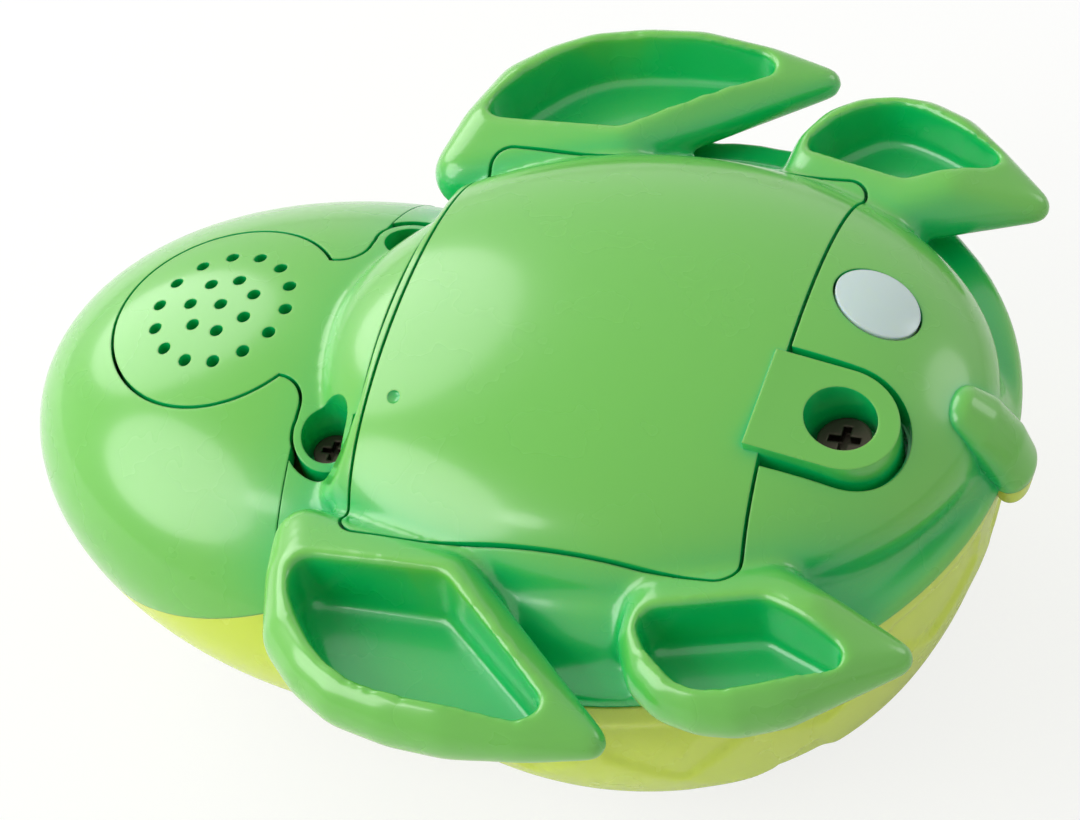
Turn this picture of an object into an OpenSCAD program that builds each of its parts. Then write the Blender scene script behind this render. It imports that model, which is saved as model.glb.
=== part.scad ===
/* [Back shell] */
// Greatest diameter of the back shell
shell_d = 84.4; // [80:0.2:88]
// Depth of the back shell, from the parting line to its crown
shell_depth = 38; // [36:0.5:42]
// Distance of the shell's widest line below the parting line
shell_drop = 6; // [4:0.5:8]
// Wall of the moulded shells
wall = 2; // [1.6:0.1:2.2]

/* [Belly] */
// Length of the belly dome
dome_l = 82.4; // [81:0.2:84]
// Width of the belly dome
dome_w = 64; // [63:0.5:66]
// Height of the belly dome above its own widest line
dome_h = 13.9; // [13.5:0.1:15]
// Height of that widest line above the parting line
dome_rise = 5; // [4.5:0.1:5.5]
// Height of the flared flanks above the parting line
flank_h = 8.6; // [8:0.1:9]
// Height of the swelling at the root of the tail
apron_h = 7; // [6:0.5:8]

/* [Head] */
// Length of the egg-shaped head
head_l = 91; // [87:0.5:93]
// Width of the head
head_w = 66; // [64:0.5:68]
// Thickness of the head, square to its length
head_h = 46.4; // [44:0.1:48]
// Angle by which the snout lifts toward the belly side
head_tilt = 9.7; // [9:0.1:11]
// Slope of the head's own parting line
throat_slope = 19; // [17:0.5:21]

/* [Speaker] */
// Width of the round end of the speaker tongue
tongue_d = 27; // [26:0.5:28]
// Width of the neck of the speaker tongue
neck_w = 17.4; // [16:0.2:18]
// Diameter of each sound hole
sound_d = 1.6; // [1.2:0.1:1.8]
// Diameter of the outer ring of sound holes
ring_d = 16.4; // [15:0.2:17]
// Diameter of the inner ring of sound holes
inner_ring_d = 8; // [7:0.2:9]
// Diameter of the loudspeaker
speaker_d = 23; // [21:0.5:23]
// Thickness of the loudspeaker's basket
speaker_h = 3.2; // [2.8:0.1:3.6]
// Diameter of the loudspeaker's magnet
magnet_d = 12; // [10:0.5:14]

/* [Battery cover] */
// Length of the cover, from its front lip to its rear edge
cover_l = 45.2; // [44.5:0.1:46]
// Width of the cover
cover_w = 58; // [57:0.5:59]
// Gap between the cover and the casing
cover_gap = 0.4; // [0.3:0.05:0.5]
// Width of the seat below the cover's edge
ledge_w = 2.4; // [2:0.1:3]
// Offset of the cover's screw tongue from the middle
latch_y = -9.8; // [-10.2:0.1:-9.4]
// Width of the screw tongue
latch_w = 12.4; // [12:0.1:12.8]
// Diameter of the screw recess in the tongue
well_d = 7.8; // [7:0.1:8]

/* [Cells] */
// Diameter of one AAA cell
cell_d = 10.5; // [10.3:0.1:10.5]
// Length of one AAA cell
cell_l = 44.5; // [44:0.1:44.6]

/* [Button] */
// Diameter of the push button
button_d = 10.6; // [10:0.1:11]
// Travel of the push button
button_travel = 0.9; // [0.6:0.1:1]
// Gap round the push button
button_gap = 0.3; // [0.2:0.05:0.4]
// Offset of the button from the middle
button_y = 6.6; // [6.3:0.1:7]

/* [Screws] */
// Diameter of the neck screw recesses
recess_d = 6.2; // [5.8:0.1:6.6]
// Offset of the neck screws from the middle
recess_y = 14.8; // [14:0.1:16]
// Diameter of the screw shanks
screw_d = 2.6; // [2.4:0.1:2.8]
// Diameter of the screw heads
screw_head_d = 4.6; // [4.4:0.1:4.7]
// Length of the neck screws below their heads
screw_l = 10; // [8:0.5:12]

/* [Flippers] */
// Length of a front flipper
front_l = 42; // [40:0.5:44]
// Reach of a front flipper from the side of the belly
front_w = 25; // [24:0.5:26]
// Length of a rear flipper
rear_l = 30; // [29:0.5:31]
// Reach of a rear flipper from the side of the belly
rear_w = 17; // [16:0.5:18]
// Height of the flippers above the parting line
flip_h = 10.6; // [10:0.1:11]
// Depth of the hollows in the flippers
hollow_depth = 8; // [6:0.5:8.5]

/* [Hidden] */
$fn = 96;

// overrun of every cut past the face that it opens
over = 1;
// seat clearance between pieces that meet
seat = 0.15;
// a length longer than the whole toy
reach = 200;

// parting plane of the two mouldings, and the middle of the back shell
parting_z = shell_depth;
shell_x = 16.3;
shell_z = parting_z - shell_drop;
// a larger egg trims the shell toward its tail, where it slopes in from the parting line
trim_x = shell_x - 0.2524 * shell_d;
trim_z = parting_z + 0.316 * shell_depth;
trim_l = 1.497 * shell_d;
trim_w = 1.203 * shell_d;
trim_h = 3.886 * shell_depth;
// share of the shell's greatest girth that it has at the parting line
rim_share = sqrt(1 - pow(shell_drop / (shell_depth - shell_drop), 2));
// the crown rests on a small flat
foot_flat = 0.4;

// sunken plates of the back shell: a row below its rim and six round its crown
plate_sink = 0.7;
plate_turn = 24;
rib_w = 1.6;
plate_top = parting_z - 2.6;
plate_side = parting_z - 8;
plate_point = parting_z - 14.5;
crown_plate_r = shell_d * 0.16;

// belly dome, and the flared flanks round it
dome_back = 1.5;
dome_x = shell_x - dome_back;
dome_z = parting_z + dome_rise;
// radius of the parting line
rim_r = shell_d * rim_share / 2;
// section of the flared flanks: shares of the rim's radius and of their height
flank_shares = [[1, 0], [0.995, 0.128], [0.9, 0.163], [0.86, 0.42], [0.8, 0.7], [0.7, 0.9],
    [0.58, 1], [0, 1]];
apron_l = 20;
apron_w = 24;

// brow that the neck plate carries between the head and the cover
brow_l = 74;
brow_w = 56;
brow_h = 15;

// head egg, and the place of its own parting plane
head_share = 0.378;
head_drop = 14;
head_x = shell_x - head_share * shell_d;
head_z = parting_z - head_drop;
throat_back = 6.4;
throat_drop = 6.1;
throat_x = head_x - throat_back;
throat_z = parting_z - throat_drop;

// front edge of the casing, where the head shell meets it
neck_back = 4.8;
neck_x = head_x - neck_back;
// radius of the flare between the tongue's neck and that edge
flare_r = 3.6;

// loudspeaker, on the head's surface, leaning a little toward the snout
speaker_back = 18.9;
speaker_rise = 9.3;
speaker_x = head_x - speaker_back;
speaker_z = parting_z + speaker_rise;
speaker_lean = -5.4;
sound_count = 14;
inner_count = 7;
collar_t = 1.2;
collar_depth = 7.4;
gasket_t = 0.8;
cone_t = 0.5;
magnet_h = 3;
clamp_t = 1.2;

// battery cover
cover_set = 25;
cover_front = dome_x - cover_set;
cover_rear = cover_front + cover_l;
cover_mid = cover_front + cover_l / 2;
cover_t = wall;
// level of the cover's lowest edge, at its sides
cover_rise = 1.6;
cover_z = dome_z + cover_rise;
latch_reach = 7.4;
latch_x = cover_rear + latch_reach;
well_rise = 7.4;
well_z = parting_z + well_rise;
well_floor = 1.6;
pilot_d = 6.6;
hook_w = 7;
hook_y = 9;
hook_l = 1;
hook_t = 1.2;

// flat, sloping top of the cover's screw tongue, and the moat round it
pad_front = cover_rear - 1.6;
pad_rise = 9.65;
pad_slope = 14.6;
moat_r = latch_w / 2 + cover_gap;
moat_rise = 9.5;
moat_h = 12;
moat_spread = 0.5;
cup_wall = 3;

// battery screw
latch_screw_d = 2.9;
latch_head_d = 6;
latch_head_h = 2.2;
latch_screw_l = 7.4;
screw_point = 2;
clip_d = 5;
clip_t = 0.5;

// battery box and its cells
cell_pitch = cell_d + 0.6;
cell_rise = 5;
cell_z = parting_z + cell_rise;
box_wall = 1.2;
box_slack = 2.6;
spring_room = 3.5;
box_in_l = 3 * cell_d + box_slack;
box_in_w = cell_l + spring_room;
box_l = box_in_l + 2 * box_wall;
box_w = box_in_w + 2 * box_wall;
cell_lift = 0.4;
box_floor_z = cell_z - cell_d / 2 - cell_lift;
nub_d = 3.8;
nub_h = 0.9;
contact_t = 0.5;
contact_w = 8;
seal_t = 0.9;

// push button
button_x = latch_x;
button_dome = 0.5;
button_body = 4;
flange_d = button_d + 1.6;
flange_t = 0.8;
clamp_wall = 1;
clamp_d = flange_d + 2 * (clamp_wall + seat);
stem_d = 3;
stem_l = 1.4;
leg_d = 1.6;

// circuit board, hung below the button on the clamp's legs
board_l = 14.4;
board_w = 10.8;
board_t = 1.2;
board_drop = 11;
board_shift = [0, 0.7];
switch_w = 6;
switch_h = 3.2;
switch_cap_d = 3.4;
chip_d = 5.6;
chip_h = 1.2;
lamp_d = 3;
lamp_h = 3.6;

// neck screws, sunk in two bosses whose mouths slant toward the head and the sides
recess_share = 0.3886;
recess_x = shell_x - recess_share * shell_d;
recess_rise = 2.4;
recess_floor = parting_z + recess_rise;
boss_d = recess_d + 1.8;
boss_slot = 1.1;
mouth_rise = 7;
mouth_tilt = 43.3;
mouth_turn = 149.3;
shell_boss_d = 6.6;

// rear edge of the neck plate, and the skirt round it
plate_rear = cover_front - 1.5;
plate_wall = 1.2;
screw_head_h = 1.8;
thread_gap = 0.05;

// seal between the shells
shell_lip_w = 3.4;
shell_lip_h = 3;
ring_seal_w = 1.2;
ring_seal_in = 1.6;

// tail
tail_l = 17;
tail_w = 9.6;
tail_h = 9;
tail_pitch = 42;
tail_share = 0.4455;
tail_rise = 3.6;
tail_x = shell_x + tail_share * shell_d;
tail_z = parting_z + tail_rise;

// flippers: where their outlines start, and the level of their rims
flip_y = -0.4453 * dome_w;
front_x = shell_x - 0.3673 * shell_d;
rear_x = shell_x + 0.1066 * shell_d;
rim_z = parting_z + flip_h;
floor_z = rim_z - hollow_depth;
hollow_r = 1.2;

// loose leads
lead_d = 1;

// height of the dome's surface over a point of its plan
function dome_top(x, y) = dome_z
    + dome_h * sqrt(1 - pow(2 * (x - dome_x) / dome_l, 2) - pow(2 * y / dome_w, 2));

// outward direction of the dome there
function dome_way(x, y) = [(x - dome_x) / pow(dome_l / 2, 2), y / pow(dome_w / 2, 2),
    (dome_top(x, y) - dome_z) / pow(dome_h, 2)];

module egg(size) {
    scale(size / 2) sphere(1);
}

module bowl_egg(grow = 0) {
    translate([shell_x, 0, shell_z]) egg([shell_d + 2 * grow, shell_d + 2 * grow,
        2 * (shell_depth - shell_drop + foot_flat + grow)]);
}

module shell_egg(grow = 0) {
    intersection() {
        bowl_egg(grow);
        translate([trim_x, 0, trim_z]) egg([trim_l + 2 * grow, trim_w + 2 * grow, trim_h + 2 * grow]);
    }
}

module dome_egg(grow = 0) {
    translate([dome_x, 0, dome_z])
        egg([dome_l + 2 * grow, dome_w + 2 * grow, 2 * dome_h + 2 * grow]);
}

// flared flanks of the casing, a ring of slopes round the shell's axis
module flanks(grow = 0) {
    translate([shell_x, 0, parting_z]) rotate_extrude() polygon(concat([[0, min(grow, 0) * over]],
        [for (p = flank_shares) [max(p[0] * rim_r + grow, 0), max(p[1] * flank_h + grow, -over)]]));
}

module head_egg(grow = 0) {
    translate([head_x, 0, head_z]) rotate([0, head_tilt, 0])
        egg([head_l + 2 * grow, head_w + 2 * grow, head_h + 2 * grow]);
}

module brow_egg(grow = 0) {
    translate([dome_x, 0, dome_z]) egg([brow_l + 2 * grow, brow_w + 2 * grow, 2 * brow_h + 2 * grow]);
}

module tail_egg() {
    translate([tail_x, 0, tail_z]) rotate([0, tail_pitch, 0]) egg([tail_l, tail_w, tail_h]);
}

module above(z) {
    translate([-reach, -reach, z]) cube([2 * reach, 2 * reach, reach]);
}

module below(z) {
    translate([-reach, -reach, z - reach]) cube([2 * reach, 2 * reach, reach]);
}

// everything behind a cross plane, toward the tail
module behind(x) {
    translate([x, -reach, -reach]) cube([reach, 2 * reach, 2 * reach]);
}

// everything on the belly side of the head's sloping parting plane
module throat_side(lift = 0) {
    translate([throat_x, 0, throat_z + lift]) rotate([0, -throat_slope, 0])
        translate([-reach, -reach, 0]) cube([2 * reach, 2 * reach, reach]);
}

// swelling at the root of the tail
module apron() {
    translate([shell_x + rim_r - apron_l / 2, 0, parting_z]) egg([apron_l, apron_w, 2 * apron_h]);
}

// outline of the speaker tongue, grown all round
module tongue_outline(grow = 0) {
    translate([speaker_x, 0]) circle(d = tongue_d + 2 * grow);
    translate([speaker_x, -neck_w / 2 - grow]) square([neck_x - speaker_x + 2 * over, neck_w + 2 * grow]);
    difference() {
        translate([neck_x - flare_r, -neck_w / 2 - flare_r])
            square([flare_r + 2 * over, neck_w + 2 * flare_r]);
        for (side = [-1, 1])
            translate([neck_x - flare_r, side * (neck_w / 2 + flare_r)]) circle(r = flare_r - grow);
    }
}

// outline of the neck plate: the speaker tongue, a crossbar and the two screw bosses
module plate_outline(grow = 0, slot = 0) {
    tongue_outline(grow);
    translate([neck_x - grow, -recess_y]) square([plate_rear - neck_x + 2 * grow, 2 * recess_y]);
    for (side = [-1, 1]) translate([recess_x, side * recess_y]) circle(d = boss_d + 2 * (grow + slot));
}

// opening of the shells round the neck plate
module plate_opening() {
    translate([0, 0, parting_z - over]) linear_extrude(reach) plate_outline(cover_gap, boss_slot - cover_gap);
}

// outline of the battery cover with its screw tongue, grown all round
module cover_outline(grow = 0) {
    translate([cover_front - grow, -cover_w / 2 - grow])
        square([cover_l + 2 * grow, cover_w + 2 * grow]);
    latch_outline(grow);
}

module latch_outline(grow = 0) {
    translate([latch_x, latch_y]) circle(d = latch_w + 2 * grow);
    translate([cover_rear - over, latch_y - latch_w / 2 - grow])
        square([latch_x - cover_rear + over, latch_w + 2 * grow]);
}

module at_speaker() {
    translate([speaker_x, 0, speaker_z]) rotate([0, speaker_lean, 0]) children();
}

// the button's place, its axis along the dome's outward direction there
module at_button() {
    way = dome_way(button_x, button_y);
    translate([button_x, button_y, dome_top(button_x, button_y)])
        rotate([0, acos(way[2] / norm(way)), atan2(way[1], way[0])]) children();
}

// the same, turned back in line with the toy
module at_board() {
    way = dome_way(button_x, button_y);
    at_button() rotate([0, 0, -atan2(way[1], way[0])]) children();
}

module at_recesses() {
    for (side = [-1, 1]) translate([recess_x, side * recess_y, 0]) children();
}

module carapace() {
    color("yellowgreen") difference() {
        union() {
            difference() {
                intersection() {
                    union() {
                        shell_egg();
                        tail_egg();
                    }
                    below(parting_z);
                    above(0);
                }
                intersection() {
                    shell_egg(-wall);
                    below(parting_z - shell_lip_h);
                }
                translate([shell_x, 0, parting_z - shell_lip_h - over])
                    cylinder(r = rim_r - wall - shell_lip_w, h = shell_lip_h + 2 * over);
            }
            // bosses that take the neck screws
            intersection() {
                at_recesses() translate([0, 0, parting_z - screw_l - 2 * wall])
                    cylinder(d = shell_boss_d, h = screw_l + 2 * wall);
                shell_egg(-wall / 2);
            }
        }
        shell_plates();
        seal_ring(thread_gap);
        at_recesses() translate([0, 0, parting_z - screw_l])
            cylinder(d = screw_d + 2 * thread_gap, h = screw_l + over);
    }
}

// what the sunken plates take from the back shell
module shell_plates() {
    half_w = shell_d / 2 * tan(plate_turn / 2) - rib_w / 2;
    difference() {
        translate([shell_x, 0, 0]) {
            for (i = [-5 : 5]) rotate([0, 0, i * plate_turn]) translate([shell_d / 4, 0, 0])
                rotate([90, 0, 90]) linear_extrude(shell_d / 2) polygon([[-half_w, plate_top],
                    [-half_w, plate_side], [0, plate_point], [half_w, plate_side], [half_w, plate_top]]);
            for (i = [0 : 5]) rotate([0, 0, 60 * i])
                translate([crown_plate_r * sqrt(3) + rib_w, 0, -over]) rotate([0, 0, 30])
                cylinder(r = crown_plate_r, h = shell_z - over, $fn = 6);
        }
        shell_egg(-plate_sink);
    }
}

module seal_ring(grow = 0) {
    translate([shell_x, 0, parting_z - ring_seal_w - grow]) difference() {
        cylinder(r = rim_r - wall - ring_seal_in + ring_seal_w + grow, h = ring_seal_w + grow);
        translate([0, 0, -over])
            cylinder(r = rim_r - wall - ring_seal_in - grow, h = ring_seal_w + grow + 2 * over);
    }
}

module shell_seal() {
    color("dimgray") seal_ring();
}

module head_crown() {
    color("yellowgreen") difference() {
        intersection() {
            head_egg();
            above(0);
        }
        throat_side();
        head_egg(-wall);
        bowl_egg(seat);
        behind(shell_x);
    }
}

module head_shell() {
    color("limegreen") difference() {
        intersection() {
            head_egg();
            throat_side(seat);
        }
        head_egg(-wall);
        bowl_egg(seat);
        behind(neck_x);
        plate_opening();
    }
}

// plate between the head and the cover: it carries the loudspeaker and the neck screws
module neck_plate() {
    color("limegreen") difference() {
        union() {
            difference() {
                intersection() {
                    plate_eggs();
                    translate([0, 0, parting_z + seat]) linear_extrude(reach) plate_outline();
                }
                intersection() {
                    plate_eggs(-wall);
                    translate([0, 0, parting_z - over]) linear_extrude(reach) plate_outline(-plate_wall);
                }
            }
            // collar that the loudspeaker stands in
            intersection() {
                at_speaker() translate([0, 0, -collar_depth - clamp_t])
                    cylinder(d = speaker_d + 2 * (collar_t + seat), h = collar_depth + clamp_t);
                head_egg(-wall / 2);
            }
            at_recesses() translate([0, 0, parting_z]) cylinder(d = boss_d, h = mouth_rise + boss_d / 2);
        }
        for (side = [-1, 1]) intersection() {
            translate([recess_x, side * recess_y, parting_z]) cylinder(d = boss_d + 2 * seat, h = reach);
            translate([recess_x, side * recess_y, parting_z + mouth_rise])
                rotate([0, mouth_tilt, side * mouth_turn]) translate([-reach / 2, -reach / 2, 0])
                cube([reach, reach, reach]);
        }
        at_speaker() {
            translate([0, 0, -collar_depth - clamp_t - over])
                cylinder(d = speaker_d + 2 * seat, h = collar_depth + clamp_t - wall);
            sound_holes();
        }
        at_recesses() {
            translate([0, 0, recess_floor]) cylinder(d = recess_d, h = reach);
            translate([0, 0, parting_z - over]) cylinder(d = screw_d + 2 * seat, h = reach);
        }
    }
}

module plate_eggs(grow = 0) {
    head_egg(grow);
    brow_egg(grow);
}

module casing_body() {
    intersection() {
        union() {
            flanks();
            dome_egg();
            head_egg();
        }
        above(parting_z);
        behind(neck_x + seat);
    }
    intersection() {
        union() {
            apron();
            tail_egg();
        }
        above(parting_z);
    }
}

// the space inside the casing
module casing_hollow() {
    difference() {
        dome_egg(-wall);
        translate([0, 0, dome_z]) linear_extrude(reach) cover_outline(ledge_w);
    }
    dome_egg(-cover_t - wall - seat);
    flanks(-wall);
    intersection() {
        head_egg(-wall);
        translate([-reach, -reach, parting_z - over]) cube([reach + dome_x, 2 * reach, reach]);
    }
}

// what the cover fills, down to its seat
module cover_space() {
    difference() {
        translate([0, 0, cover_z - cover_gap]) linear_extrude(reach) cover_outline(cover_gap);
        dome_egg(-cover_t - seat);
    }
}

module belly_casing() {
    color("limegreen") difference() {
        union() {
            difference() {
                casing_body();
                casing_hollow();
                cover_space();
            }
            // cup under the screw tongue, with the pilot boss below it
            intersection() {
                union() {
                    translate([0, 0, well_z - seat - wall]) linear_extrude(reach)
                        latch_outline(cover_gap + cup_wall);
                    translate([latch_x, latch_y, parting_z])
                        cylinder(d = pilot_d, h = well_z - parting_z - seat);
                }
                dome_egg(-cover_t);
                behind(cover_rear - ledge_w);
            }
        }
        plate_opening();
        latch_moat();
        hook_slots();
        translate([0, 0, well_z - seat]) linear_extrude(reach) latch_outline(cover_gap);
        translate([latch_x, latch_y, well_z - clip_t - seat]) cylinder(d = clip_d + 2 * seat, h = clip_t + over);
        translate([latch_x, latch_y, parting_z - over])
            cylinder(d = latch_screw_d + 4 * cover_gap, h = reach);
        at_button() {
            translate([0, 0, -reach / 8]) cylinder(d = button_d + 2 * button_gap, h = reach / 4);
            translate([0, 0, -reach / 8])
                cylinder(d = clamp_d + 2 * seat, h = reach / 8 - button_body + 2 * seat);
        }
        translate([cover_mid - box_l / 2 - seat, -box_w / 2 - seat, box_floor_z - box_wall - seat])
            cube([box_l + 2 * seat, box_w + 2 * seat, reach]);
    }
}

// moat in the casing round the cover's screw tongue
module latch_moat() {
    moat_top = moat_r + moat_spread * moat_h;
    translate([latch_x, latch_y, parting_z + moat_rise]) {
        cylinder(r1 = moat_r, r2 = moat_top, h = moat_h);
        rotate([90, 0, -90]) linear_extrude(latch_reach)
            polygon([[-moat_r, 0], [moat_r, 0], [moat_top, moat_h], [-moat_top, moat_h]]);
    }
}

// slots for the cover's hooks, open toward the neck plate
module hook_slots() {
    for (side = [-1, 1]) intersection() {
        translate([plate_rear - over, side * hook_y - hook_w / 2 - seat, parting_z])
            cube([cover_front - plate_rear + 2 * over + seat, hook_w + 2 * seat, reach]);
        difference() {
            dome_egg(-cover_t + seat);
            dome_egg(-cover_t - hook_t - seat);
        }
    }
}

module sound_holes() {
    ring(1, 0, 0);
    ring(inner_count, inner_ring_d, 0.5);
    ring(sound_count, ring_d, 0);
}

module ring(count, d, turn_share) {
    for (i = [0 : count - 1]) rotate([0, 0, (i + turn_share) * 360 / count])
        translate([d / 2, 0, -wall - 2 * over]) cylinder(d = sound_d, h = 2 * wall + 3 * over, $fn = 24);
}

// space of a flipper: points of its plan as shares of its length and reach, with a level above
// the parting plane and a radius as shares of its height
module flipper_form(x, l, w, points) {
    hull() for (p = points)
        translate([x + p[0] * l, flip_y - p[1] * w, parting_z + p[2] * flip_h])
        sphere(r = p[3] * flip_h, $fn = 16);
}

module flipper_hollow(x, l, w, points) {
    hull() for (p = points)
        translate([x + p[0] * l, flip_y - p[1] * w, floor_z])
        cylinder(r1 = hollow_r, r2 = hollow_r * 2, h = hollow_depth + over, $fn = 12);
}

front_form_shares = [[0.12, 0.04, 0.434, 0.396], [0.11, 0.24, 0.491, 0.472],
    [0.12, 0.48, 0.491, 0.472], [0.28, 0.7, 0.491, 0.472], [0.56, 0.77, 0.491, 0.472],
    [0.93, 0.8, 0.434, 0.179], [0.64, 0.54, 0.679, 0.283], [0.45, 0.18, 0.679, 0.321]];
front_hollow_shares = [[0.09, 0.26], [0.42, 0.26], [0.50, 0.36], [0.72, 0.70], [0.68, 0.76],
    [0.48, 0.80], [0.28, 0.74], [0.14, 0.56]];
rear_form_shares = [[0.1, 0.02, 0.434, 0.377], [0.13, 0.38, 0.491, 0.434],
    [0.26, 0.6, 0.491, 0.453], [0.45, 0.64, 0.491, 0.453], [0.72, 0.46, 0.491, 0.377],
    [0.95, 0.24, 0.415, 0.179], [0.62, 0.12, 0.66, 0.283], [0.45, -0.04, 0.566, 0.321]];
rear_hollow_shares = [[0.09, 0.34], [0.36, 0.22], [0.44, 0.16], [0.68, 0.40], [0.38, 0.70], [0.18, 0.62]];

module front_flipper() {
    color("limegreen") difference() {
        flipper_form(front_x, front_l, front_w, front_form_shares);
        flipper_hollow(front_x, front_l, front_w, front_hollow_shares);
        flipper_clearance();
    }
}

module rear_flipper() {
    color("limegreen") difference() {
        flipper_form(rear_x, rear_l, rear_w, rear_form_shares);
        flipper_hollow(rear_x, rear_l, rear_w, rear_hollow_shares);
        flipper_clearance();
    }
}

// the bodies that the flippers spring from
module flipper_clearance() {
    dome_egg();
    flanks();
    below(parting_z + seat);
}

module flipper_front_right() {
    front_flipper();
}

module flipper_front_left() {
    mirror([0, 1, 0]) front_flipper();
}

module flipper_rear_right() {
    rear_flipper();
}

module flipper_rear_left() {
    mirror([0, 1, 0]) rear_flipper();
}

module battery_cover() {
    color("limegreen") difference() {
        union() {
            difference() {
                intersection() {
                    dome_egg();
                    translate([0, 0, cover_z]) linear_extrude(reach) cover_outline();
                }
                dome_egg(-cover_t);
            }
            // screw tongue, flat on top
            difference() {
                intersection() {
                    translate([0, 0, well_z]) linear_extrude(reach) {
                        latch_outline();
                        translate([cover_rear, latch_y]) polygon([[0, latch_w / 2],
                            [pad_front - cover_rear, -latch_w / 2], [0, -latch_w / 2]]);
                    }
                    translate([latch_x, 0, dome_z + pad_rise]) rotate([0, pad_slope, 0])
                        translate([-reach / 2, -reach / 2, -reach]) cube([reach, reach, reach]);
                }
                difference() {
                    dome_egg(-cover_t);
                    behind(cover_rear - over / 2);
                }
            }
            // hooks under the casing's front lip
            for (side = [-1, 1]) intersection() {
                translate([cover_front - hook_l, side * hook_y - hook_w / 2, parting_z])
                    cube([hook_l + over, hook_w, reach]);
                difference() {
                    dome_egg(-cover_t);
                    dome_egg(-cover_t - hook_t);
                }
            }
        }
        translate([latch_x, latch_y, well_z + well_floor]) cylinder(d = well_d, h = reach);
        translate([latch_x, latch_y, well_z - over]) cylinder(d = latch_screw_d + 4 * thread_gap, h = reach);
    }
}

module battery_screw() {
    color("silver") translate([latch_x, latch_y, 0]) difference() {
        union() {
            translate([0, 0, well_z + well_floor]) cylinder(d = latch_head_d, h = latch_head_h);
            translate([0, 0, well_z + well_floor - latch_screw_l + screw_point])
                cylinder(d = latch_screw_d, h = latch_screw_l - screw_point + latch_head_h / 2);
            translate([0, 0, well_z + well_floor - latch_screw_l])
                cylinder(d1 = latch_screw_d / 3, d2 = latch_screw_d, h = screw_point);
        }
        cross_slot(well_z + well_floor + latch_head_h, latch_head_d);
    }
}

module cross_slot(z, d) {
    for (turn = [0, 90]) rotate([0, 0, turn]) translate([-d * 0.3, -d * 0.08, z - d * 0.2])
        cube([d * 0.6, d * 0.16, reach]);
}

module screw_clip() {
    color("silver") translate([latch_x, latch_y, well_z - clip_t]) difference() {
        cylinder(d = clip_d, h = clip_t);
        translate([0, 0, -over]) cylinder(d = latch_screw_d + 2 * thread_gap, h = clip_t + 2 * over);
    }
}

module neck_screws() {
    color("silver") at_recesses() difference() {
        union() {
            translate([0, 0, recess_floor]) cylinder(d = screw_head_d, h = screw_head_h);
            translate([0, 0, recess_floor - screw_l]) cylinder(d = screw_d, h = screw_l + screw_head_h / 2);
        }
        cross_slot(recess_floor + screw_head_h, screw_head_d);
    }
}

module battery_box() {
    color("forestgreen") difference() {
        intersection() {
            translate([cover_mid - box_l / 2, -box_w / 2, box_floor_z - box_wall])
                cube([box_l, box_w, reach]);
            dome_egg(-cover_t - seal_t - seat);
        }
        box_inside();
    }
}

module box_inside() {
    translate([cover_mid - box_in_l / 2, -box_in_w / 2, box_floor_z]) cube([box_in_l, box_in_w, reach]);
}

module cover_seal() {
    color("dimgray") difference() {
        intersection() {
            dome_egg(-cover_t - seat);
            translate([cover_mid - box_l / 2, -box_w / 2, dome_z]) cube([box_l, box_w, reach]);
        }
        dome_egg(-cover_t - seal_t);
        box_inside();
    }
}

// one cell lies across the toy, its nub toward one side or the other
module at_cell(i) {
    translate([cover_mid + (i - 2) * cell_pitch, 0, cell_z]) rotate([i == 2 ? 90 : -90, 0, 0])
        children();
}

module cell() {
    translate([0, 0, -cell_l / 2]) cylinder(d = cell_d, h = cell_l - nub_h);
    translate([0, 0, cell_l / 2 - nub_h - over]) cylinder(d = nub_d, h = nub_h + over);
}

module battery_1() {
    color("gray") at_cell(1) cell();
}

module battery_2() {
    color("gray") at_cell(2) cell();
}

module battery_3() {
    color("gray") at_cell(3) cell();
}

module contact_plates() {
    color("silver") for (i = [1 : 3]) at_cell(i)
        translate([-contact_w / 2, -contact_w / 2, box_in_w / 2 - contact_t])
        cube([contact_w, contact_w, contact_t]);
}

module contact_springs() {
    color("silver") for (i = [1 : 3]) at_cell(i) {
        translate([-contact_w / 2, -contact_w / 2, -box_in_w / 2]) cube([contact_w, contact_w, contact_t]);
        difference() {
            translate([0, 0, -box_in_w / 2])
                cylinder(d1 = contact_w * 0.8, d2 = contact_w * 0.5, h = (box_in_w - cell_l) / 2 - seat);
            translate([0, 0, -box_in_w / 2 + contact_t])
                cylinder(d = contact_w * 0.3, h = box_in_w / 2);
        }
    }
}

module power_button() {
    color("lightcyan") at_button() {
        intersection() {
            translate([0, 0, -button_body]) cylinder(d = button_d, h = button_body + button_dome);
            translate([0, 0, button_dome - button_d * 2]) sphere(button_d * 2);
        }
        translate([0, 0, -button_body - flange_t]) cylinder(d = flange_d, h = flange_t);
        translate([0, 0, -button_body - flange_t - stem_l]) cylinder(d = stem_d, h = stem_l);
    }
}

module button_clamp() {
    top = -button_body + seat;
    lip = -button_body - flange_t - button_travel - seat;
    color("white") at_button() {
        difference() {
            translate([0, 0, lip - clamp_wall]) cylinder(d = clamp_d, h = top - lip + clamp_wall);
            translate([0, 0, lip]) cylinder(d = flange_d + 2 * seat, h = reach);
            translate([0, 0, lip - reach / 2]) cylinder(d = flange_d - 2 * clamp_wall, h = reach);
        }
    }
    color("white") at_board() for (side = [-1, 1])
        translate([side * (flange_d / 2 + seat), 0, -board_drop])
        cylinder(d = leg_d, h = board_drop + lip - clamp_wall / 2);
}

module circuit_board() {
    color("darkgreen") at_board() translate([board_shift[0] - board_l / 2, board_shift[1] - board_w / 2,
        -board_drop - board_t]) cube([board_l, board_w, board_t]);
}

module push_switch() {
    color("black") at_board() {
        translate([-switch_w / 2, -switch_w / 2, -board_drop]) cube([switch_w, switch_w, switch_h]);
        translate([0, 0, -board_drop]) cylinder(d = switch_cap_d,
            h = board_drop - button_body - flange_t - stem_l - button_travel - seat);
    }
}

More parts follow.
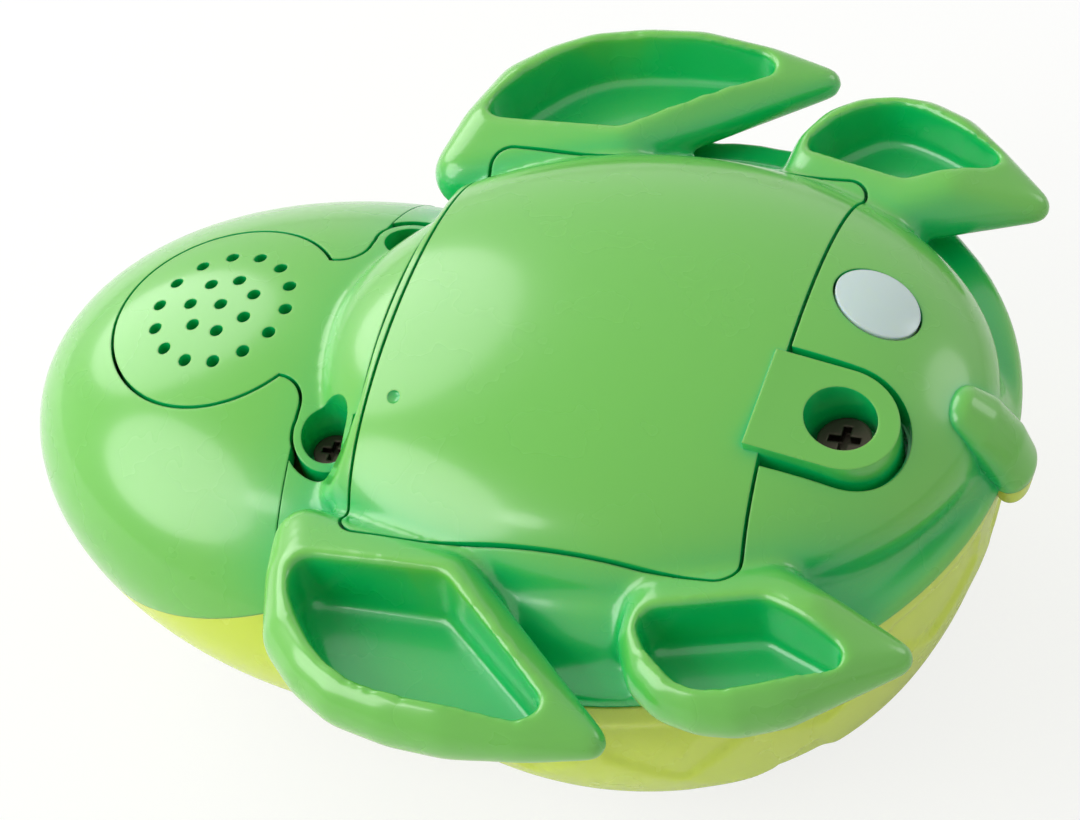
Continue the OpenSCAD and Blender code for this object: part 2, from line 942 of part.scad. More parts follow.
module sound_chip() {
    color("black") at_board() translate([board_shift[0], board_shift[1], -board_drop - board_t - chip_h])
        cylinder(d1 = chip_d / 2, d2 = chip_d, h = chip_h);
}

module light_lamp() {
    color("white") at_board() translate([0, switch_w / 2 + lamp_d / 2, -board_drop]) {
        cylinder(d = lamp_d, h = lamp_h - lamp_d / 2);
        translate([0, 0, lamp_h - lamp_d / 2]) sphere(d = lamp_d);
    }
}

module speaker_basket() {
    color("dimgray") at_speaker() translate([0, 0, -collar_depth]) difference() {
        cylinder(d = speaker_d, h = speaker_h);
        translate([0, 0, cone_t]) cylinder(d = speaker_d - 2 * collar_t, h = speaker_h);
    }
}

module speaker_cone() {
    color("black") at_speaker() translate([0, 0, -collar_depth + cone_t]) difference() {
        cylinder(d1 = magnet_d, d2 = speaker_d - 2 * collar_t - 2 * seat, h = speaker_h - cone_t);
        translate([0, 0, cone_t]) cylinder(d1 = magnet_d - 2 * cone_t,
            d2 = speaker_d - 2 * collar_t - 2 * seat, h = speaker_h - cone_t);
    }
}

module speaker_magnet() {
    color("silver") at_speaker() translate([0, 0, -collar_depth - magnet_h])
        cylinder(d = magnet_d, h = magnet_h);
}

module speaker_gasket() {
    color("black") at_speaker() translate([0, 0, -collar_depth + speaker_h]) difference() {
        cylinder(d = speaker_d, h = gasket_t);
        translate([0, 0, -over]) cylinder(d = speaker_d - 2 * collar_t, h = gasket_t + 2 * over);
    }
}

module speaker_clamp() {
    color("white") at_speaker() translate([0, 0, -collar_depth - clamp_t]) difference() {
        cylinder(d = speaker_d, h = clamp_t);
        translate([0, 0, -over]) cylinder(d = magnet_d + 2 * seat, h = clamp_t + 2 * over);
    }
}

// a tube along a list of points, its rings square to the way there
module lead(points, d) {
    sides = 8;
    n = len(points);
    ring_points = [for (i = [0 : n - 1])
        let (way = points[min(i + 1, n - 1)] - points[max(i - 1, 0)],
            across = cross(way, [0, 1, 0]) / norm(cross(way, [0, 1, 0])),
            up = cross(across, way) / norm(way))
        for (k = [0 : sides - 1])
            points[i] + d / 2 * (cos(k * 360 / sides) * across + sin(k * 360 / sides) * up)];
    polyhedron(points = ring_points, faces = concat(
        [[for (k = [0 : sides - 1]) k]],
        [[for (k = [sides - 1 : -1 : 0]) (n - 1) * sides + k]],
        [for (i = [0 : n - 2]) for (k = [0 : sides - 1])
            [i * sides + k, (i + 1) * sides + k, (i + 1) * sides + (k + 1) % sides, i * sides + (k + 1) % sides]]));
}

// ways of the leads, as shares of the shell's diameter from its middle and the parting plane
speaker_route_shares = [[-0.5604, 0, -0.0172], [-0.5438, 0, -0.0166], [-0.5273, 0, -0.0142],
    [-0.513, 0, -0.0083], [-0.5012, 0, 0.0012], [-0.4905, 0, 0.0089], [-0.4727, 0, 0.0113],
    [-0.4491, 0.0012, 0.0113], [-0.4301, 0.0024, 0.0101], [-0.4135, 0.0059, 0.0024],
    [-0.3969, 0.0095, -0.0118], [-0.378, 0.013, -0.0332], [-0.3519, 0.0178, -0.0521],
    [-0.3116, 0.0237, -0.0675], [-0.2405, 0.0355, -0.0782], [-0.1457, 0.0474, -0.0829],
    [-0.0509, 0.0474, -0.0829], [0.0438, 0.0474, -0.0806], [0.1268, 0.0474, -0.0711],
    [0.1742, 0.0521, -0.0545], [0.205, 0.0592, -0.0284], [0.2192, 0.0616, 0],
    [0.2239, 0.0628, 0.0284], [0.2251, 0.0628, 0.0474]];
battery_route_shares = [[0.1765, 0.1422, 0.0308], [0.1813, 0.1422, 0.0201],
    [0.1896, 0.1398, 0.0118], [0.2002, 0.1351, 0.0083], [0.2121, 0.128, 0.0095],
    [0.2204, 0.1209, 0.0166], [0.2251, 0.1161, 0.0284], [0.2263, 0.1149, 0.0438]];

function placed(shares) = [for (p = shares) [shell_x, 0, parting_z] + shell_d * p];

module speaker_leads() {
    color("red") lead(placed(speaker_route_shares), lead_d);
}

module battery_leads() {
    color("black") lead(placed(battery_route_shares), lead_d);
}

carapace();
head_crown();
head_shell();
neck_plate();
belly_casing();
flipper_front_left();
flipper_front_right();
flipper_rear_left();
flipper_rear_right();
battery_cover();
battery_screw();
screw_clip();
battery_box();
cover_seal();
battery_1();
battery_2();
battery_3();
contact_springs();
contact_plates();
power_button();
button_clamp();
push_switch();
circuit_board();
sound_chip();
light_lamp();
speaker_basket();
speaker_cone();
speaker_magnet();
speaker_gasket();
speaker_clamp();
neck_screws();
shell_seal();
speaker_leads();
battery_leads();
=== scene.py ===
import math

import bpy
from bpy.props import FloatProperty, FloatVectorProperty, IntProperty, PointerProperty
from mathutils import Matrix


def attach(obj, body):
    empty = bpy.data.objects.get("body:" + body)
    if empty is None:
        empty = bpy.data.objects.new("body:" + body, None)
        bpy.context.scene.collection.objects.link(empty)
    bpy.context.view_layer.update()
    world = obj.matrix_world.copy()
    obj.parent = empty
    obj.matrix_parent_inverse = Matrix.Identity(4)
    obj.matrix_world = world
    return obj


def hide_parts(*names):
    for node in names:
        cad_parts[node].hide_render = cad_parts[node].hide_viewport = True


bl_info = {
    "name": "Turtle bath toy",
    "version": (1, 0, 0),
    "blender": (4, 5, 0),
    "location": "3D View > Sidebar > Turtle toy",
    "description": "Models the mouldings of a turtle bath toy round its packed frame",
    "category": "Object",
}

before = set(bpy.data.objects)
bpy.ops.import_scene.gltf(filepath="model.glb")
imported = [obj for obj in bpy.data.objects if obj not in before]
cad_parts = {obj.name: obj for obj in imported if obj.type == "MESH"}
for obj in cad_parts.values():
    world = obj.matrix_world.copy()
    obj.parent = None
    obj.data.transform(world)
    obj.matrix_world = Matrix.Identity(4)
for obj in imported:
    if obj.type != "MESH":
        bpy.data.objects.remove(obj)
MM = 0.001

# Sizes below are in millimetres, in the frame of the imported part, unless they say otherwise.
REACH = 200.0
SEAT = 0.15
OVER = 1.0
WALL = 2.0
GAP = 0.4
PARTING_Z = 38.0
# a level above every fixed piece
HIGH_Z = PARTING_Z + 40.0
# how far the softened forms run past the parting plane before they are cut flat there
SKIRT = 3.0

# the back shell: a bowl, and the larger egg that trims it toward the tail
SHELL_X = 16.3
SHELL_D = 84.4
SHELL_Z = PARTING_Z - 6.0
BOWL_SIZE = (SHELL_D, SHELL_D, 64.8)
TRIM_SIZE = (126.35, 101.53, 147.67)
TRIM = (SHELL_X - 21.3, 0.0, PARTING_Z + 12.0)
RIM_R = 41.45
SHELL_LIP_W = 3.4

# facets round the small forms, from the widest to the finest
WIDE_FACETS = 128
ROUND_FACETS = 96
ROD_FACETS = 64
BALL_FACETS = 32
PIN_FACETS = 24

# softening: shares of the chosen grain, and how strongly each pass smooths
PLATE_GRAIN = 0.9
SHELL_GRAIN = 1.2
SOFTEN = 0.5
# distance in metres below which points are merged, and the sharpest angle shaded smooth, in degrees
MERGE = 0.00001
SMOOTH_ANGLE = 35.0

# sunken plates of the back shell: side plates either way from the tail, and a ring on the crown
PLATE_SINK = 0.55
SIDE_PLATES = 5
PLATE_TURN = 24.0
PLATE_IN = SHELL_D / 4
PLATE_OUT = 3 * SHELL_D / 4
PLATE_HALF_W = 8.17
PLATE_TOP = PARTING_Z - 2.6
PLATE_SIDE = PARTING_Z - 8.0
PLATE_POINT = PARTING_Z - 14.5
CROWN_PLATES = 6
CROWN_PLATE_SIDES = 6
CROWN_PLATE_R = 13.5
CROWN_PLATE_OUT = 25.0

# the belly dome, and the brow that the neck plate carries
DOME_X = SHELL_X - 1.5
DOME_SIZE = (82.4, 64.0, 27.8)
DOME_Z = PARTING_Z + 5.0
BROW_SIZE = (74.0, 56.0, 30.0)

# section of the flared flanks: radius share and height share
FLANK_H = 8.6
FLANK_SHARES = ((1.0, 0.0), (0.995, 0.128), (0.9, 0.163), (0.86, 0.42), (0.8, 0.7), (0.7, 0.9),
                (0.58, 1.0), (0.0, 1.0))
APRON_SIZE = (20.0, 24.0, 14.0)

# head egg, tilted so that the snout rises toward the belly side, and its sloping parting plane
HEAD = (SHELL_X - 31.9, 0.0, PARTING_Z - 14.0)
HEAD_SIZE = (91.0, 66.0, 46.4)
HEAD_TILT = 9.7
THROAT = (HEAD[0] - 6.4, 0.0, PARTING_Z - 6.1)
THROAT_SLOPE = 19.0
NECK_X = HEAD[0] - 4.8
NECK_W = 17.4
FLARE_R = 3.6

# speaker tongue: rings of sound holes as count, diameter and turn in pitches
SPEAKER = (HEAD[0] - 18.9, 0.0, PARTING_Z + 9.3)
SPEAKER_LEAN = -5.4
TONGUE_D = 27.0
SOUND_D = 1.6
SOUND_RINGS = ((1, 0.0, 0.0), (7, 8.0, 0.5), (14, 16.4, 0.0))
COLLAR_R = 11.65
COLLAR_T = 1.2
COLLAR_DEPTH = 8.6

# battery cover
COVER_FRONT = DOME_X - 25.0
COVER_L = 45.2
COVER_W = 58.0
COVER_REAR = COVER_FRONT + COVER_L
COVER_Z = DOME_Z + 1.6
LEDGE_W = 2.4
HOOK_Y = 9.0
HOOK_W = 7.0
HOOK_L = 1.0
HOOK_T = 1.2
CORNER_R = 2.4

# the cover's screw tongue, its flat sloping top and the moat round it
LATCH = (COVER_REAR + 7.4, -9.8)
LATCH_W = 12.4
WELL_D = 7.8
WELL_Z = PARTING_Z + 7.4
WELL_FLOOR = 1.6
SCREW_BORE_R = 1.55
PAD_FRONT = COVER_REAR - 1.6
PAD_Z = DOME_Z + 9.65
PAD_SLOPE = 15.5
PAD_TURN = -22.0
MOAT_Z = PARTING_Z + 9.5
MOAT_H = 12.0
MOAT_SPREAD = 0.12
MOAT_PLACE = (LATCH[0] + 0.5, LATCH[1] - 0.3)
CUP_WALL = 3.0
PILOT_R = 3.3
GATE_MARK = (-7.0, -14.6)
GATE_MARK_R = 0.9

# battery bay under the cover
BAY_LOW = (-6.0, -25.4, 36.0)
BAY_HIGH = (30.8, 25.4, 60.0)

# push button, on its own leaning axis
BUTTON = (42.4, 6.6, 52.914)
BUTTON_WAY = (0.29994, 0.11889, 0.94652)
BUTTON_D = 10.6
BUTTON_DOME = 0.5
BUTTON_BODY = 4.0
BUTTON_OVAL = (1.0, 0.8, 1.0)
BUTTON_OVAL_TURN = 122.0
BUTTON_GAP = 0.3
BORE_LOW = -3 * BUTTON_BODY
BORE_HIGH = 2 * BUTTON_BODY
# flange and stem below the button: radius and length
FLANGE = (6.1, 0.8)
STEM = (1.5, 1.4)
CLAMP_R = 7.25
CLAMP_TOP = -3.7

# neck plate with its two screw bosses
PLATE_REAR = COVER_FRONT - 1.5
PLATE_WALL = 1.2
RECESS = (SHELL_X - 32.8, 14.8)
RECESS_D = 6.2
RECESS_FLOOR = PARTING_Z + 2.4
SCREW_R = 1.45
BOSS_D = 8.0
BOSS_SLOT = 1.1
BOSS_TOP = PARTING_Z + 11.0
SLOT_FLOOR = PARTING_Z + 1.2

# how the casing falls away beside each boss, from the cover's corner to the neck line
FALL = (RECESS[0] + BOSS_D / 2 + BOSS_SLOT, RECESS[1], PARTING_Z + 13.3)
FALL_TILT = 58.5
FALL_TURN = 168.7
FALL_SIDES = (8.0, 24.0)

# tail leaf, from its root on the belly down over the rim: along, up from the parting, radius
TAIL_FORM = (
    (37.3, 9.1, 2.1), (39.0, 7.2, 2.5), (41.2, 4.0, 2.4), (42.0, 1.2, 2.4), (41.6, -1.6, 2.0),
)
TAIL_SPREAD = 1.5
TAIL_Y = -2.2

# flippers: where their outlines start, their length and reach, and the level of their rims
FLIP_H = 10.6
FLIP_Y = 28.5
FRONT = (SHELL_X - 31.0, 42.0, 25.0)
REAR = (SHELL_X + 9.0, 30.0, 17.0)
HOLLOW = 8.0
HOLLOW_R = 1.2
# share of the length, share of the reach, level and radius as shares of the height
FRONT_FORM_SHARES = (
    (0.01, 0.0, 0.434, 0.396), (0.06, 0.22, 0.491, 0.472), (0.11, 0.48, 0.491, 0.472),
    (0.19, 0.61, 0.491, 0.472), (0.28, 0.70, 0.491, 0.472), (0.42, 0.755, 0.491, 0.472),
    (0.56, 0.77, 0.491, 0.472), (0.76, 0.79, 0.47, 0.34), (0.93, 0.80, 0.434, 0.179),
    (0.64, 0.54, 0.679, 0.283), (0.45, 0.18, 0.679, 0.321),
)
FRONT_HOLLOW_SHARES = (
    (0.085, 0.28), (0.43, 0.28), (0.755, 0.74), (0.735, 0.765), (0.64, 0.765), (0.52, 0.76),
    (0.40, 0.74), (0.32, 0.71), (0.255, 0.655), (0.20, 0.58), (0.145, 0.47), (0.10, 0.36),
)
REAR_FORM_SHARES = (
    (0.07, 0.12, 0.434, 0.42), (0.10, 0.42, 0.491, 0.434), (0.145, 0.58, 0.491, 0.434),
    (0.215, 0.67, 0.491, 0.434), (0.32, 0.71, 0.491, 0.434), (0.42, 0.695, 0.491, 0.434),
    (0.55, 0.59, 0.491, 0.434), (0.69, 0.42, 0.491, 0.377), (0.925, 0.23, 0.415, 0.179),
    (0.62, 0.12, 0.66, 0.283), (0.45, -0.04, 0.566, 0.321),
)
REAR_HOLLOW_SHARES = (
    (0.09, 0.40), (0.36, 0.28), (0.445, 0.235), (0.57, 0.345), (0.71, 0.43), (0.63, 0.49),
    (0.50, 0.62), (0.40, 0.69), (0.32, 0.72), (0.26, 0.70), (0.20, 0.62), (0.13, 0.51),
)

# plastics: clear coat, how far light goes in, and how far round a point its hollows are felt for the
# shade painted into them
COAT_ROUGHNESS = 0.12
LIGHT_DEPTH = 1.2
LIGHT_RADIUS = (1.0, 1.0, 0.3)
PLASTIC_IOR = 1.5
HOLLOW_DISTANCE = 13.0
HOLLOW_RANGE = (0.6, 1.0)
# share of the shell's colour painted into its hollows as shade
SHELL_SHADE_SHARE = 0.62
# finishes: spread of the gloss, size of its patches, height and strength of the fine grain
GLOSS_SPREAD = (0.8, 1.25)
PLASTIC_PATCHES = 90.0
PLASTIC_GRAIN = 8 * PLASTIC_PATCHES
PLASTIC_GRAIN_H = 0.01
METAL_PATCHES = 400.0
METAL_GRAIN = 6000.0
METAL_GRAIN_H = 0.02
GRAIN_STRENGTH = 0.25
EDGE_SAMPLES = 4
HOLLOW_SAMPLES = 8
# sockets of a colour mix
MIX_SHARE = 0
MIX_FIRST = 6
MIX_SECOND = 7
MIX_RESULT = 2

# the photograph's camera: place, turn in degrees, lens, width of its sensor
CAMERA_PLACE = (144.992, -259.593, 362.195)
CAMERA_TURN = (41.195, 10.098, 17.484)
CAMERA_LENS = 128.96
CAMERA_SENSOR = 36.0
CAMERA_NEAR = 10.0

# the stage: floor, how much of it the camera sees as plain white, and the light from all round
FLOOR_SIZE = 6000.0
FLOOR_COLOR = (0.9, 0.9, 0.89, 1)
FLOOR_WHITE = (1, 1, 0.99, 1)
FLOOR_ROUGHNESS = 0.9
FLOOR_GLOW = 0.8
WORLD_SEEN = 1.0
WORLD_LIGHT = 0.5

# soft boxes: bearing and height in degrees, distance and size in metres, power in watts
LIGHTS = (
    ("key_light", -150.0, 36.0, 0.8, 0.62, 3.6),
    ("side_light", 150.0, 34.0, 0.8, 0.60, 2.6),
    ("spot_light", -126.0, 52.0, 0.8, 0.11, 0.16),
    ("edge_light", 40.0, 30.0, 0.9, 0.40, 0.8),
)


class TurtleSizes(bpy.types.PropertyGroup):
    grain: FloatProperty(
        name="Grain", description="Size of the cells in which the mouldings are shaped",
        default=0.42 * MM, min=0.3 * MM, unit="LENGTH",
    )
    rounding: IntProperty(
        name="Rounding", description="Passes that soften the mouldings' edges", default=12, min=0,
    )
    facets: IntProperty(
        name="Facets", description="Facets round the full forms", default=192, min=24,
    )
    body_color: FloatVectorProperty(
        name="Body colour", description="Green of the belly, the head and the flippers",
        default=(0.135, 0.50, 0.055), size=3, subtype="COLOR",
    )
    # green painted into the hollows of the mouldings as shade
    painted_shade_color: FloatVectorProperty(
        name="Hollow shade colour", description="Green painted into the hollows as shade",
        default=(0.0, 0.50, 0.12), size=3, subtype="COLOR",
    )
    shell_color: FloatVectorProperty(
        name="Shell colour", description="Yellow green of the back shell",
        default=(0.60, 0.74, 0.05), size=3, subtype="COLOR",
    )
    button_color: FloatVectorProperty(
        name="Button colour", description="Pale tint of the clear button",
        default=(0.66, 0.82, 0.78), size=3, subtype="COLOR",
    )
    gloss: FloatProperty(
        name="Gloss roughness", description="Roughness of the glossy mouldings", default=0.26,
        min=0.0, max=1.0, subtype="FACTOR",
    )
    edge: FloatProperty(
        name="Edge radius", description="Radius of the mouldings' fine edges",
        default=0.35 * MM, min=0.0, unit="LENGTH",
    )


def sizes():
    return bpy.context.scene.turtle_sizes


def pick(*objs):
    """Selects these objects alone, the last of them active."""
    if bpy.context.object and bpy.context.object.mode != "OBJECT":
        bpy.ops.object.mode_set(mode="OBJECT")
    bpy.ops.object.select_all(action="DESELECT")
    for obj in objs:
        obj.select_set(True)
    bpy.context.view_layer.objects.active = objs[-1]


def shaped(obj, size=None, turns=(), place=(0, 0, 0)):
    """Shapes a whole mesh in edit mode: its size, turns as (axis, degrees), then its place."""
    pick(obj)
    bpy.ops.object.mode_set(mode="EDIT")
    bpy.ops.mesh.select_all(action="SELECT")
    if size:
        bpy.ops.transform.resize(value=[v * MM for v in size], center_override=(0, 0, 0))
    for axis, degrees in turns:
        bpy.ops.transform.rotate(value=-math.radians(degrees), orient_axis=axis,
                                 orient_type="GLOBAL", center_override=(0, 0, 0))
    bpy.ops.transform.translate(value=[v * MM for v in place])
    bpy.ops.object.mode_set(mode="OBJECT")
    return obj


def egg(size, place, tilt=0.0, facets=None):
    bpy.ops.object.select_all(action="DESELECT")
    count = facets or sizes().facets
    bpy.ops.mesh.primitive_uv_sphere_add(segments=count, ring_count=count // 2, radius=0.5)
    return shaped(bpy.context.object, size, [("Y", tilt)] if tilt else [], place)


def grown(size, grow):
    return [v + 2 * grow for v in size]


def block(low, high, turns=(), place=(0, 0, 0)):
    """A box between two corners, turned about the origin and then placed."""
    bpy.ops.object.select_all(action="DESELECT")
    bpy.ops.mesh.primitive_cube_add(size=1)
    size = [b - a for a, b in zip(low, high)]
    middle = [(a + b) / 2 for a, b in zip(low, high)]
    obj = shaped(bpy.context.object, size, (), middle)
    return shaped(obj, None, turns, place) if turns or any(place) else obj


def rod(r1, r2, z1, z2, place=(0, 0, 0), turns=(), facets=ROD_FACETS):
    """A cylinder or cone along Z between two levels, turned about the origin and placed."""
    bpy.ops.object.select_all(action="DESELECT")
    bpy.ops.mesh.primitive_cone_add(vertices=facets, radius1=r1 * MM, radius2=r2 * MM,
                                    depth=(z2 - z1) * MM)
    obj = shaped(bpy.context.object, None, (), (0, 0, (z1 + z2) / 2))
    return shaped(obj, None, turns, place) if turns or any(place) else obj


def turned(profile, x, z):
    """A closed body spun round an upright axis at x, from (radius, height) points above z."""
    bpy.ops.object.select_all(action="DESELECT")
    bpy.ops.mesh.primitive_plane_add(size=MM)
    obj = bpy.context.object
    bpy.ops.object.mode_set(mode="EDIT")
    bpy.ops.mesh.select_all(action="SELECT")
    bpy.ops.mesh.merge(type="CENTER")
    here = (0.0, 0.0)
    for i, (r, h) in enumerate(profile):
        step = ((r - here[0]) * MM, 0, (h - here[1]) * MM)
        if i:
            bpy.ops.mesh.extrude_region_move(TRANSFORM_OT_translate={"value": step})
        else:
            bpy.ops.transform.translate(value=step)
        here = (r, h)
    bpy.ops.mesh.select_all(action="SELECT")
    bpy.ops.mesh.spin(steps=sizes().facets, angle=2 * math.pi, center=(0, 0, 0), axis=(0, 0, 1))
    bpy.ops.mesh.select_all(action="SELECT")
    bpy.ops.mesh.remove_doubles(threshold=MERGE)
    bpy.ops.mesh.normals_make_consistent(inside=False)
    bpy.ops.object.mode_set(mode="OBJECT")
    return shaped(obj, None, (), (x, 0, z))


def joined(objs):
    pick(*objs)
    bpy.ops.object.join()
    return objs[-1]


def hull(objs):
    obj = joined(objs)
    pick(obj)
    bpy.ops.object.mode_set(mode="EDIT")
    bpy.ops.mesh.select_all(action="SELECT")
    bpy.ops.mesh.convex_hull()
    bpy.ops.object.mode_set(mode="OBJECT")
    return obj


def boolean(obj, other, operation):
    pick(obj)
    mod = obj.modifiers.new("cut", "BOOLEAN")
    mod.operation = operation
    mod.object = other
    mod.solver = "MANIFOLD"
    bpy.ops.object.modifier_apply(modifier=mod.name)
    bpy.data.objects.remove(other, do_unlink=True)
    if not obj.data.polygons:
        raise RuntimeError(f"nothing is left of {obj.name} after {operation.lower()}")
    return obj


def keep(obj, other):
    return boolean(obj, other, "INTERSECT")


def cut(obj, other):
    return boolean(obj, other, "DIFFERENCE")


def fuse(obj, other):
    return boolean(obj, other, "UNION")


def moulded(obj, grain, passes):
    """Remeshes a joined body into one skin and softens its edges."""
    pick(obj)
    mod = obj.modifiers.new("skin", "REMESH")
    mod.mode = "VOXEL"
    mod.voxel_size = grain
    bpy.ops.object.modifier_apply(modifier=mod.name)
    if passes:
        mod = obj.modifiers.new("soften", "SMOOTH")
        mod.factor = SOFTEN
        mod.iterations = passes
        bpy.ops.object.modifier_apply(modifier=mod.name)
    return obj


def above(z):
    return block((-REACH, -REACH, z), (REACH, REACH, z + REACH))


def below(z):
    return block((-REACH, -REACH, z - REACH), (REACH, REACH, z))


def behind(x):
    return block((x, -REACH, -REACH), (x + REACH, REACH, REACH))


def over_plane(place, turns):
    """Everything above a turned plane through a point."""
    return block((-REACH, -REACH, 0), (REACH, REACH, REACH), turns, place)


def dome(grow=0.0):
    return egg(grown(DOME_SIZE, grow), (DOME_X, 0, DOME_Z))


def brow(grow=0.0):
    return egg(grown(BROW_SIZE, grow), (DOME_X, 0, DOME_Z))


def head(grow=0.0):
    return egg(grown(HEAD_SIZE, grow), HEAD, HEAD_TILT)


def bowl(grow=0.0):
    return egg(grown(BOWL_SIZE, grow), (SHELL_X, 0, SHELL_Z))


def shell(grow=0.0):
    return keep(bowl(grow), egg(grown(TRIM_SIZE, grow), TRIM))


def throat():
    return over_plane(THROAT, (("Y", -THROAT_SLOPE),))


def tail():
    """Leaf of the tail, from its root on the belly down over the rim."""
    return hull([egg((2 * r, 2 * r * TAIL_SPREAD, 2 * r), (SHELL_X + along, TAIL_Y, PARTING_Z + up),
                     facets=ROD_FACETS) for along, up, r in TAIL_FORM])


def flanks(grow=0.0):
    """The flared flanks as one body, from below the parting plane up to the dome."""
    profile = [(0, -SKIRT), (RIM_R + grow, -SKIRT)]
    profile += [(max(r * RIM_R + grow, 0), h * FLANK_H + grow) for r, h in FLANK_SHARES if h > 0]
    return turned(profile, SHELL_X, PARTING_Z)


def tongue_prism(grow, low, high):
    """Upright prism of the speaker tongue's outline, grown all round."""
    obj = rod(TONGUE_D / 2 + grow, TONGUE_D / 2 + grow, low, high, (SPEAKER[0], 0, 0),
              facets=WIDE_FACETS)
    half = NECK_W / 2 + grow
    fuse(obj, block((SPEAKER[0], -half, low), (NECK_X + 2 * OVER, half, high)))
    half = NECK_W / 2 + FLARE_R
    flare = block((NECK_X - FLARE_R, -half, low), (NECK_X + 2 * OVER, half, high))
    for side in (-1, 1):
        cut(flare, rod(FLARE_R - grow, FLARE_R - grow, low - OVER, high + OVER,
                       (NECK_X - FLARE_R, side * half, 0)))
    return fuse(obj, flare)


def plate_prism(grow, low, high):
    """Upright prism of the neck plate: the tongue, a crossbar and the two screw bosses."""
    obj = tongue_prism(grow, low, high)
    fuse(obj, block((NECK_X - grow, -RECESS[1], low), (PLATE_REAR + grow, RECESS[1], high)))
    for side in (-1, 1):
        fuse(obj, boss_prism(grow, low, high, side))
    return obj


def boss_prism(grow, low, high, side):
    r = BOSS_D / 2 + grow
    return rod(r, r, low, high, (RECESS[0], side * RECESS[1], 0))


def cover_prism(grow, low, high):
    """Upright prism of the battery cover's outline without its screw tongue."""
    r = CORNER_R + grow
    corners = [rod(r, r, low, high, (x, y, 0), facets=BALL_FACETS)
               for x in (COVER_FRONT + CORNER_R, COVER_REAR - CORNER_R)
               for y in (-COVER_W / 2 + CORNER_R, COVER_W / 2 - CORNER_R)]
    return hull(corners)


def latch_prism(grow, low, high):
    half = LATCH_W / 2 + grow
    obj = rod(half, half, low, high, (*LATCH, 0), facets=ROUND_FACETS)
    return fuse(obj, block((COVER_REAR - OVER, LATCH[1] - half, low),
                           (LATCH[0], LATCH[1] + half, high)))


def moat():
    """What the casing gives way to round the screw tongue."""
    r = LATCH_W / 2 + GAP
    top = r + MOAT_SPREAD * MOAT_H
    x, y = MOAT_PLACE
    low, high = MOAT_Z, MOAT_Z + MOAT_H
    wedge = hull([block((COVER_REAR, y - r, low), (x, y + r, low + SEAT)),
                  block((COVER_REAR, y - top, high - SEAT), (x, y + top, high))])
    return fuse(rod(r, top, low, high, (x, y, 0), facets=ROUND_FACETS), wedge)


def at_flipper(root, along, out, side):
    """Where a point given in shares of a flipper's length and reach lies."""
    return root[0] + along * root[1], side * (FLIP_Y + out * root[2])


def flipper_form(root, shares, side):
    """Outer form of one flipper, from the balls that its hull is drawn round."""
    balls = []
    for along, out, level, r in shares:
        x, y = at_flipper(root, along, out, side)
        d = 2 * r * FLIP_H
        balls.append(egg((d, d, d), (x, y, PARTING_Z + level * FLIP_H), facets=BALL_FACETS))
    return keep(hull(balls), above(PARTING_Z + SEAT))


def flipper_hollow(root, shares, side):
    """Hollow of one flipper, a little wider at its mouth."""
    floor_z = PARTING_Z + FLIP_H - HOLLOW
    cones = []
    for along, out in shares:
        place = (*at_flipper(root, along, out, side), floor_z)
        cones.append(rod(HOLLOW_R, 2 * HOLLOW_R, 0, HOLLOW + 3 * OVER, place, facets=PIN_FACETS))
    return hull(cones)


def fall(side):
    """What falls away from the casing beside a boss, between its two sides."""
    x, y, z = FALL
    near, far = sorted(side * v for v in FALL_SIDES)
    slope = over_plane((x, side * y, z), (("Y", FALL_TILT), ("Z", side * FALL_TURN)))
    return cut(keep(slope, block((-REACH, near, PARTING_Z), (COVER_FRONT, far, REACH))), head())


def at_button(obj):
    """Sets a form on the button's own axis, level with its crown."""
    lean = math.degrees(math.acos(BUTTON_WAY[2]))
    turn = math.degrees(math.atan2(BUTTON_WAY[1], BUTTON_WAY[0]))
    return shaped(obj, None, (("Y", lean), ("Z", turn)), BUTTON)


def button_oval(grow, low, high):
    """Prism of the button's oval outline."""
    r = BUTTON_D / 2 + grow
    obj = rod(r, r, low, high, facets=ROUND_FACETS)
    return shaped(obj, [v / MM for v in BUTTON_OVAL], (("Z", BUTTON_OVAL_TURN),))


def belly_form():
    """The belly's whole outer form, softened, before any seam is cut: shaped once, then copied."""
    mesh = bpy.data.meshes.get("belly_form")
    if mesh is None:
        s = sizes()
        low = PARTING_Z - SKIRT
        apron = (SHELL_X + RIM_R - APRON_SIZE[0] / 2, 0, PARTING_Z)
        parts = [
            keep(dome(), above(low)),
            flanks(),
            keep(egg(APRON_SIZE, apron), above(low)),
            keep(head(), block((NECK_X - SKIRT, -REACH, low), (REACH, REACH, REACH))),
        ]
        for side in (-1, 1):
            parts.append(flipper_form(FRONT, FRONT_FORM_SHARES, side))
            parts.append(flipper_form(REAR, REAR_FORM_SHARES, side))
        obj = moulded(joined(parts), s.grain, 0)
        for side in (-1, 1):
            cut(obj, fall(side))
            cut(obj, flipper_hollow(FRONT, FRONT_HOLLOW_SHARES, side))
            cut(obj, flipper_hollow(REAR, REAR_HOLLOW_SHARES, side))
        moulded(obj, s.grain, s.rounding)
        moulded(obj, s.grain, s.rounding // 2)
        keep(obj, above(PARTING_Z))
        keep(obj, behind(NECK_X + SEAT))
        fuse(obj, keep(tail(), above(PARTING_Z)))
        obj.data.name = "belly_form"
        mesh = obj.data
        mesh.use_fake_user = True
        bpy.data.objects.remove(obj, do_unlink=True)
    obj = bpy.data.objects.new("belly", mesh.copy())
    bpy.context.scene.collection.objects.link(obj)
    return obj


